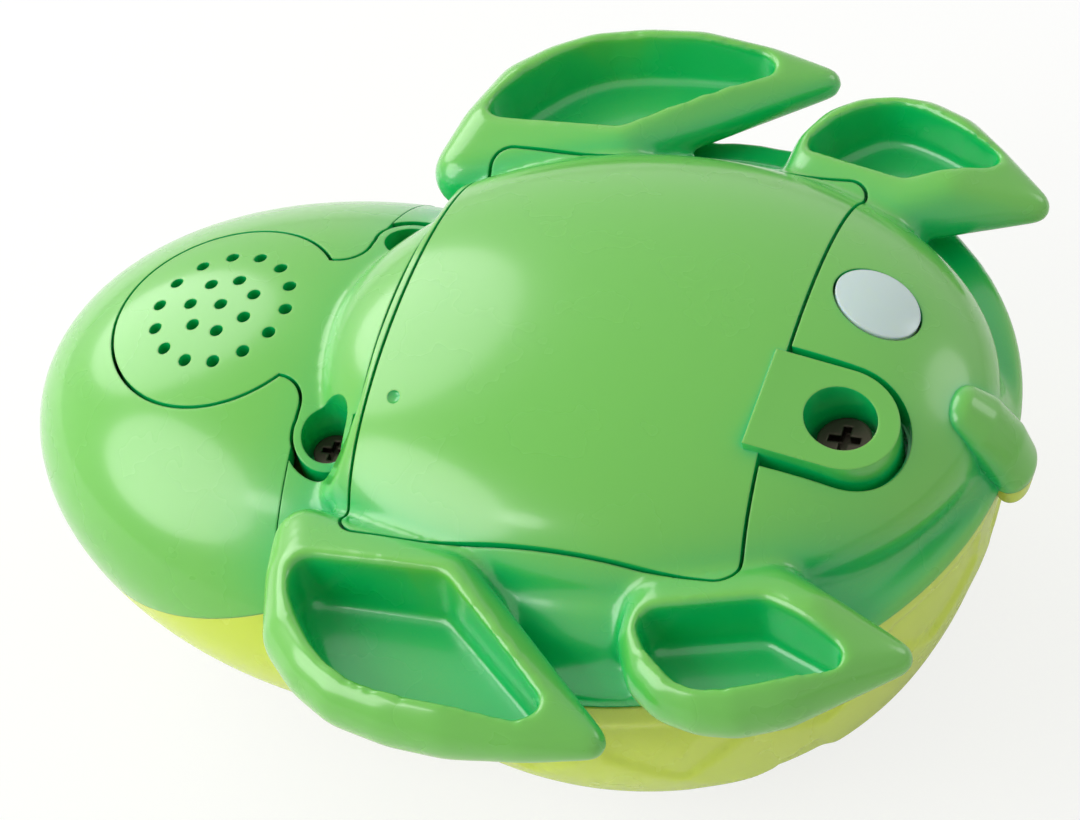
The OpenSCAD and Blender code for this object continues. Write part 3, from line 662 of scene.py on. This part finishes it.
def finish_piece(obj, name, body, material, *nodes):
    """Names a skin, gives it its finish and its body, and tells which nodes it stands for."""
    obj.name = name
    obj.data.name = name
    obj.data.materials.clear()
    obj.data.materials.append(material)
    pick(obj)
    bpy.ops.object.mode_set(mode="EDIT")
    bpy.ops.mesh.select_all(action="SELECT")
    bpy.ops.mesh.remove_doubles(threshold=MERGE)
    bpy.ops.mesh.normals_make_consistent(inside=False)
    bpy.ops.object.mode_set(mode="OBJECT")
    bpy.ops.object.shade_smooth_by_angle(angle=math.radians(SMOOTH_ANGLE))
    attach(obj, body)
    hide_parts(*nodes)


def shader_of(name):
    mat = bpy.data.materials.get(name) or bpy.data.materials.new(name)
    mat.use_nodes = True
    return mat, mat.node_tree.nodes["Principled BSDF"]


def linked(mat, kind, **inputs):
    """Adds a shader node and fills its inputs with values or with other nodes' sockets."""
    node = mat.node_tree.nodes.new(kind)
    for name, value in inputs.items():
        if isinstance(value, bpy.types.NodeSocket):
            mat.node_tree.links.new(value, node.inputs[name.replace("_", " ")])
        else:
            node.inputs[name.replace("_", " ")].default_value = value
    return node


def uneven(mat, shader, low, high, patches, fine, depth):
    """Uneven gloss on object coordinates, a fine grain in the surface, and rounded fine edges."""
    place = linked(mat, "ShaderNodeTexCoord").outputs["Object"]
    noise = linked(mat, "ShaderNodeTexNoise", Vector=place, Scale=patches, Detail=3.0)
    spread = linked(mat, "ShaderNodeMapRange", Value=noise.outputs["Fac"], To_Min=low, To_Max=high)
    mat.node_tree.links.new(spread.outputs["Result"], shader.inputs["Roughness"])
    grain = linked(mat, "ShaderNodeTexNoise", Vector=place, Scale=fine, Detail=2.0)
    edge = linked(mat, "ShaderNodeBevel", Radius=sizes().edge)
    edge.samples = EDGE_SAMPLES
    bump = linked(mat, "ShaderNodeBump", Height=grain.outputs["Fac"], Strength=GRAIN_STRENGTH,
                  Distance=depth * MM, Normal=edge.outputs["Normal"])
    mat.node_tree.links.new(bump.outputs["Normal"], shader.inputs["Normal"])


def plastic(name, color, gloss, hollow_shade=None, sheen=0.0, soft=0.0, clear=0.0):
    """Moulded plastic; where a hollow colour is given, it is painted into the hollows as shade."""
    mat, shader = shader_of(name)
    shader.inputs["Base Color"].default_value = (*color, 1)
    shader.inputs["IOR"].default_value = PLASTIC_IOR
    shader.inputs["Coat Weight"].default_value = sheen
    shader.inputs["Coat Roughness"].default_value = COAT_ROUGHNESS
    shader.inputs["Subsurface Weight"].default_value = soft
    shader.inputs["Subsurface Radius"].default_value = LIGHT_RADIUS
    shader.inputs["Subsurface Scale"].default_value = LIGHT_DEPTH * MM
    shader.inputs["Transmission Weight"].default_value = clear
    low, high = [v * gloss for v in GLOSS_SPREAD]
    uneven(mat, shader, low, high, PLASTIC_PATCHES, PLASTIC_GRAIN, PLASTIC_GRAIN_H)
    # painted shade: ambient occlusion turns the colour toward the hollow shade colour in hollows and
    # creases
    if hollow_shade:
        open_sky = linked(mat, "ShaderNodeAmbientOcclusion", Distance=HOLLOW_DISTANCE * MM)
        open_sky.samples = HOLLOW_SAMPLES
        share = linked(mat, "ShaderNodeMapRange", Value=open_sky.outputs["AO"],
                       From_Min=HOLLOW_RANGE[0], From_Max=HOLLOW_RANGE[1])
        blend = mat.node_tree.nodes.new("ShaderNodeMix")
        blend.data_type = "RGBA"
        blend.inputs[MIX_FIRST].default_value = (*hollow_shade, 1)
        blend.inputs[MIX_SECOND].default_value = (*color, 1)
        mat.node_tree.links.new(share.outputs["Result"], blend.inputs[MIX_SHARE])
        mat.node_tree.links.new(blend.outputs[MIX_RESULT], shader.inputs["Base Color"])
    return mat


def metal(name, color, low, high):
    mat, shader = shader_of(name)
    shader.inputs["Base Color"].default_value = (*color, 1)
    shader.inputs["Metallic"].default_value = 1.0
    uneven(mat, shader, low, high, METAL_PATCHES, METAL_GRAIN, METAL_GRAIN_H)
    return mat


def body_plastic():
    s = sizes()
    return plastic("body_plastic", s.body_color, s.gloss, s.painted_shade_color, sheen=0.6, soft=0.2)


def shell_plastic():
    s = sizes()
    # the shell's hollows are painted darker as shade
    hollow_shade = [SHELL_SHADE_SHARE * v for v in s.shell_color]
    return plastic("shell_plastic", s.shell_color, s.gloss, hollow_shade, sheen=0.25, soft=0.2)


class TURTLE_OT_casing(bpy.types.Operator):
    """Models the belly casing with its flippers as one moulding"""

    bl_idname = "turtle.casing"
    bl_label = "Belly casing"

    def execute(self, context):
        obj = belly_form()
        half = COVER_W / 2 + LEDGE_W
        hollow = cut(dome(-WALL), block((COVER_FRONT - LEDGE_W, -half, DOME_Z),
                                        (COVER_REAR + LEDGE_W, half, HIGH_Z)))
        cut(obj, keep(hollow, behind(COVER_FRONT)))
        cut(obj, keep(dome(-2 * WALL - SEAT), behind(COVER_FRONT)))
        cut(obj, flanks(-WALL))
        cup = fuse(latch_prism(GAP + CUP_WALL, WELL_Z - SEAT - WALL, HIGH_Z),
                   rod(PILOT_R, PILOT_R, PARTING_Z, WELL_Z - SEAT, (*LATCH, 0)))
        keep(cup, dome(-WALL / 2))
        keep(cup, behind(COVER_REAR - LEDGE_W))
        fuse(obj, cup)
        cut(obj, cut(cover_prism(GAP, COVER_Z - GAP, HIGH_Z), dome(-WALL - SEAT)))
        cut(obj, latch_prism(GAP, WELL_Z - SEAT, HIGH_Z))
        cut(obj, moat())
        cut(obj, plate_prism(GAP, PARTING_Z - OVER, REACH))
        for side in (-1, 1):
            cut(obj, boss_prism(BOSS_SLOT, SLOT_FLOOR, REACH, side))
        cut(obj, at_button(button_oval(BUTTON_GAP, BORE_LOW, BORE_HIGH)))
        cut(obj, at_button(rod(CLAMP_R + SEAT, CLAMP_R + SEAT, BORE_LOW, CLAMP_TOP)))
        cut(obj, block(BAY_LOW, BAY_HIGH))
        r = SCREW_BORE_R + GAP
        cut(obj, rod(r, r, PARTING_Z - OVER, HIGH_Z, (*LATCH, 0)))
        finish_piece(obj, "casing_skin", "shell", body_plastic(), "belly_casing", "flipper_front_left",
                     "flipper_front_right", "flipper_rear_left", "flipper_rear_right")
        return {"FINISHED"}


class TURTLE_OT_plate(bpy.types.Operator):
    """Models the neck plate with the speaker tongue, its sound holes and the two screw bosses"""

    bl_idname = "turtle.plate"
    bl_label = "Neck plate"

    def execute(self, context):
        s = sizes()
        lean = (("Y", SPEAKER_LEAN),)
        obj = moulded(joined([head(), brow()]), PLATE_GRAIN * s.grain, s.rounding)
        keep(obj, plate_prism(0, PARTING_Z + SEAT, HIGH_Z))
        inner = fuse(head(-WALL), brow(-WALL))
        cut(obj, keep(inner, plate_prism(-PLATE_WALL, PARTING_Z - OVER, HIGH_Z)))
        r = COLLAR_R + COLLAR_T
        fuse(obj, keep(rod(r, r, -COLLAR_DEPTH, 0, SPEAKER, lean), head(-WALL / 2)))
        cut(obj, rod(COLLAR_R, COLLAR_R, -COLLAR_DEPTH - OVER, -WALL - OVER, SPEAKER, lean))
        for side in (-1, 1):
            place = (RECESS[0], side * RECESS[1], 0)
            fuse(obj, keep(boss_prism(0, PARTING_Z, BOSS_TOP, side), fuse(head(-SEAT), brow(-SEAT))))
            cut(obj, rod(RECESS_D / 2, RECESS_D / 2, RECESS_FLOOR, HIGH_Z, place))
            cut(obj, rod(SCREW_R, SCREW_R, PARTING_Z - OVER, HIGH_Z, place, facets=BALL_FACETS))
        holes = []
        for count, d, turn in SOUND_RINGS:
            for i in range(count):
                a = 2 * math.pi * (i + turn) / count
                place = (d / 2 * math.cos(a), d / 2 * math.sin(a), 0)
                holes.append(rod(SOUND_D / 2, SOUND_D / 2, -2 * WALL, WALL, place, facets=PIN_FACETS))
        cut(obj, shaped(joined(holes), None, lean, SPEAKER))
        finish_piece(obj, "plate_skin", "shell", body_plastic(), "neck_plate")
        return {"FINISHED"}


class TURTLE_OT_head(bpy.types.Operator):
    """Models the two halves of the head"""

    bl_idname = "turtle.head"
    bl_label = "Head"

    def execute(self, context):
        obj = keep(head(), throat())
        cut(obj, bowl(SEAT))
        cut(obj, behind(NECK_X))
        cut(obj, plate_prism(GAP, PARTING_Z - OVER, REACH))
        cut(obj, head(-WALL))
        finish_piece(obj, "head_skin", "shell", body_plastic(), "head_shell")
        crown = keep(head(), above(0))
        cut(crown, throat())
        cut(crown, bowl(SEAT))
        cut(crown, behind(SHELL_X))
        cut(crown, head(-WALL))
        finish_piece(crown, "crown_skin", "shell", shell_plastic(), "head_crown")
        return {"FINISHED"}


class TURTLE_OT_shell(bpy.types.Operator):
    """Models the back shell with its sunken plates"""

    bl_idname = "turtle.shell"
    bl_label = "Back shell"

    def execute(self, context):
        s = sizes()
        obj = shell()
        plates = []
        for i in range(-SIDE_PLATES, SIDE_PLATES + 1):
            plate = hull([
                block((PLATE_IN, -PLATE_HALF_W, PLATE_SIDE), (PLATE_OUT, PLATE_HALF_W, PLATE_TOP)),
                block((PLATE_IN, -SEAT, PLATE_POINT), (PLATE_OUT, SEAT, PLATE_SIDE)),
            ])
            plates.append(shaped(plate, None, (("Z", i * PLATE_TURN),), (SHELL_X, 0, 0)))
        for i in range(CROWN_PLATES):
            plate = rod(CROWN_PLATE_R, CROWN_PLATE_R, -OVER, SHELL_Z - 2 * OVER,
                        (CROWN_PLATE_OUT, 0, 0), facets=CROWN_PLATE_SIDES)
            plates.append(shaped(plate, None, (("Z", 360 / CROWN_PLATES * i),), (SHELL_X, 0, 0)))
        for plate in plates:
            cut(obj, plate)
        fuse(obj, shell(-PLATE_SINK))
        moulded(obj, SHELL_GRAIN * s.grain, s.rounding // 2)
        fuse(obj, tail())
        cut(obj, above(PARTING_Z))
        cut(obj, below(0))
        cut(obj, keep(shell(-WALL), below(PARTING_Z - SKIRT)))
        r = RIM_R - WALL - SHELL_LIP_W
        cut(obj, rod(r, r, PARTING_Z - SKIRT - OVER, PARTING_Z + OVER, (SHELL_X, 0, 0),
                     facets=WIDE_FACETS))
        finish_piece(obj, "shell_skin", "shell", shell_plastic(), "carapace")
        return {"FINISHED"}


class TURTLE_OT_cover(bpy.types.Operator):
    """Models the battery cover with its screw tongue and hooks"""

    bl_idname = "turtle.cover"
    bl_label = "Battery cover"

    def execute(self, context):
        obj = keep(belly_form(), cover_prism(0, COVER_Z, HIGH_Z))
        cut(obj, dome(-WALL))
        near, far = LATCH[1] - LATCH_W / 2, LATCH[1] + LATCH_W / 2
        tongue = fuse(latch_prism(0, WELL_Z, HIGH_Z), hull([
            block((COVER_REAR - OVER, far - SEAT, WELL_Z), (COVER_REAR, far, HIGH_Z)),
            block((PAD_FRONT, near, WELL_Z), (COVER_REAR, near + SEAT, HIGH_Z)),
        ]))
        cut(tongue, over_plane((*LATCH, PAD_Z), (("Y", PAD_SLOPE), ("Z", PAD_TURN))))
        cut(tongue, cut(dome(-WALL), behind(COVER_REAR - OVER / 2)))
        fuse(obj, tongue)
        hooks = cut(dome(-WALL), dome(-WALL - HOOK_T))
        bars = joined([block((COVER_FRONT - HOOK_L, y - HOOK_W / 2, PARTING_Z),
                             (COVER_FRONT + OVER, y + HOOK_W / 2, HIGH_Z)) for y in (-HOOK_Y, HOOK_Y)])
        fuse(obj, keep(hooks, bars))
        cut(obj, rod(WELL_D / 2, WELL_D / 2, WELL_Z + WELL_FLOOR, HIGH_Z, (*LATCH, 0)))
        cut(obj, rod(SCREW_BORE_R, SCREW_BORE_R, WELL_Z - OVER, HIGH_Z, (*LATCH, 0)))
        x, y = GATE_MARK
        top = DOME_Z + DOME_SIZE[2] / 2 * math.sqrt(
            1 - (2 * (x - DOME_X) / DOME_SIZE[0]) ** 2 - (2 * y / DOME_SIZE[1]) ** 2)
        cut(obj, egg((2 * GATE_MARK_R, 2 * GATE_MARK_R, GATE_MARK_R), (x, y, top), facets=PIN_FACETS))
        finish_piece(obj, "cover_skin", "cover", body_plastic(), "battery_cover")
        return {"FINISHED"}


class TURTLE_OT_button(bpy.types.Operator):
    """Models the oval push button"""

    bl_idname = "turtle.button"
    bl_label = "Push button"

    def execute(self, context):
        s = sizes()
        r = 2 * BUTTON_D
        crown = egg((2 * r, 2 * r, 2 * r), (0, 0, BUTTON_DOME - r))
        obj = keep(button_oval(0, -BUTTON_BODY, BUTTON_BODY), crown)
        low = -BUTTON_BODY
        for radius, length in (FLANGE, STEM):
            fuse(obj, rod(radius, radius, low - length, low + SEAT))
            low -= length
        material = plastic("button_clear", s.button_color, 0.2, sheen=0.5, soft=0.5, clear=0.15)
        finish_piece(at_button(obj), "button_skin", "button", material, "power_button")
        return {"FINISHED"}


class TURTLE_OT_finishes(bpy.types.Operator):
    """Gives the screws, cells and the pieces inside their finishes"""

    bl_idname = "turtle.finishes"
    bl_label = "Finishes"

    def execute(self, context):
        groups = (
            # painted shade: the screws' steel is coloured near-black brown, as the shade deep in their
            # wells
            (metal("screw_steel", (0.07, 0.06, 0.045), 0.3, 0.5), ("battery_screw", "neck_screws")),
            (metal("spring_steel", (0.62, 0.61, 0.58), 0.18, 0.32),
             ("screw_clip", "contact_springs", "contact_plates", "speaker_magnet")),
            (plastic("seal_rubber", (0.05, 0.05, 0.05), 0.6),
             ("shell_seal", "cover_seal", "speaker_gasket")),
            (plastic("box_plastic", (0.03, 0.22, 0.04), 0.4), ("battery_box",)),
            (plastic("clamp_plastic", (0.78, 0.78, 0.76), 0.4), ("button_clamp", "speaker_clamp")),
            (plastic("cell_sleeve", (0.36, 0.37, 0.39), 0.3), ("battery_1", "battery_2", "battery_3")),
            (plastic("board_lacquer", (0.02, 0.16, 0.05), 0.3), ("circuit_board",)),
            (plastic("chip_resin", (0.02, 0.02, 0.02), 0.5), ("sound_chip", "push_switch")),
            (plastic("lamp_clear", (0.8, 0.8, 0.78), 0.1, sheen=0.3, clear=0.7), ("light_lamp",)),
            (metal("basket_steel", (0.12, 0.12, 0.12), 0.35, 0.5), ("speaker_basket",)),
            (plastic("cone_paper", (0.03, 0.03, 0.03), 0.8), ("speaker_cone",)),
            (plastic("lead_red", (0.5, 0.02, 0.02), 0.4), ("speaker_leads",)),
            (plastic("lead_black", (0.02, 0.02, 0.02), 0.4), ("battery_leads",)),
        )
        for mat, names in groups:
            for name in names:
                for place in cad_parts[name].material_slots:
                    place.material = mat
        return {"FINISHED"}


class TURTLE_OT_stage(bpy.types.Operator):
    """Sets the pale floor, the soft light and the photograph's camera"""

    bl_idname = "turtle.stage"
    bl_label = "Stage"

    def execute(self, context):
        scene = context.scene
        bpy.ops.object.select_all(action="DESELECT")
        bpy.ops.mesh.primitive_plane_add(size=FLOOR_SIZE * MM)
        floor = context.object
        floor.name = "floor"
        floor.data.materials.append(self.floor_finish())
        self.light_world(scene)
        for name, bearing, height, distance, size, power in LIGHTS:
            light = bpy.data.lights.new(name, "AREA")
            light.shape = "DISK"
            light.energy = power
            light.size = size
            obj = bpy.data.objects.new(name, light)
            scene.collection.objects.link(obj)
            a, e = math.radians(bearing), math.radians(height)
            way = (math.cos(e) * math.cos(a), math.cos(e) * math.sin(a), math.sin(e))
            obj.location = [distance * v for v in way]
            obj.rotation_euler = (math.pi / 2 - e, 0, a + math.pi / 2)
        data = bpy.data.cameras.new("camera")
        data.lens = CAMERA_LENS
        data.sensor_width = CAMERA_SENSOR
        data.clip_start = CAMERA_NEAR * MM
        camera = bpy.data.objects.new("camera", data)
        scene.collection.objects.link(camera)
        camera.location = [v * MM for v in CAMERA_PLACE]
        camera.rotation_euler = [math.radians(v) for v in CAMERA_TURN]
        scene.camera = camera
        scene.view_settings.view_transform = "Standard"
        return {"FINISHED"}

    def floor_finish(self):
        """White floor that keeps the toy's shadow, but looks white to the camera beyond it."""
        mat, shader = shader_of("floor_pale")
        shader.inputs["Base Color"].default_value = FLOOR_COLOR
        shader.inputs["Roughness"].default_value = FLOOR_ROUGHNESS
        nodes, links = mat.node_tree.nodes, mat.node_tree.links
        glow = linked(mat, "ShaderNodeEmission", Color=FLOOR_WHITE, Strength=1.0)
        seen = linked(mat, "ShaderNodeLightPath")
        share = linked(mat, "ShaderNodeMapRange", Value=seen.outputs["Is Camera Ray"], To_Max=FLOOR_GLOW)
        mix = nodes.new("ShaderNodeMixShader")
        links.new(share.outputs["Result"], mix.inputs[0])
        links.new(shader.outputs["BSDF"], mix.inputs[1])
        links.new(glow.outputs["Emission"], mix.inputs[2])
        links.new(mix.outputs["Shader"], nodes["Material Output"].inputs["Surface"])
        return mat

    def light_world(self, scene):
        """Even white light, a little stronger where the camera or a gloss sees it."""
        world = scene.world or bpy.data.worlds.new("world")
        scene.world = world
        world.use_nodes = True
        nodes, links = world.node_tree.nodes, world.node_tree.links
        back = nodes["Background"]
        back.inputs["Color"].default_value = (1, 1, 1, 1)
        seen = nodes.new("ShaderNodeLightPath")
        share = nodes.new("ShaderNodeMapRange")
        share.inputs["To Min"].default_value = WORLD_SEEN
        share.inputs["To Max"].default_value = WORLD_LIGHT
        links.new(seen.outputs["Is Diffuse Ray"], share.inputs["Value"])
        links.new(share.outputs["Result"], back.inputs["Strength"])


class TURTLE_PT_panel(bpy.types.Panel):
    """Lists the steps that model the toy"""

    bl_label = "Turtle toy"
    bl_space_type = "VIEW_3D"
    bl_region_type = "UI"
    bl_category = "Turtle toy"

    def draw(self, context):
        layout = self.layout
        for name in TurtleSizes.__annotations__:
            layout.prop(context.scene.turtle_sizes, name)
        for step in STEPS:
            layout.operator(step.bl_idname)


STEPS = (TURTLE_OT_casing, TURTLE_OT_plate, TURTLE_OT_head, TURTLE_OT_shell, TURTLE_OT_cover,
         TURTLE_OT_button, TURTLE_OT_finishes, TURTLE_OT_stage)
CLASSES = (TurtleSizes, *STEPS, TURTLE_PT_panel)


def register():
    for cls in CLASSES:
        bpy.utils.register_class(cls)
    bpy.types.Scene.turtle_sizes = PointerProperty(type=TurtleSizes)


def unregister():
    del bpy.types.Scene.turtle_sizes
    for cls in reversed(CLASSES):
        bpy.utils.unregister_class(cls)


def main():
    """Models the toy step by step."""
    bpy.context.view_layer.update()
    register()
    bpy.ops.turtle.casing()
    bpy.ops.turtle.plate()
    bpy.ops.turtle.head()
    bpy.ops.turtle.shell()
    bpy.ops.turtle.cover()
    bpy.ops.turtle.button()
    bpy.ops.turtle.finishes()
    bpy.ops.turtle.stage()
    bpy.context.view_layer.update()


if __name__ == "__main__":
    main()
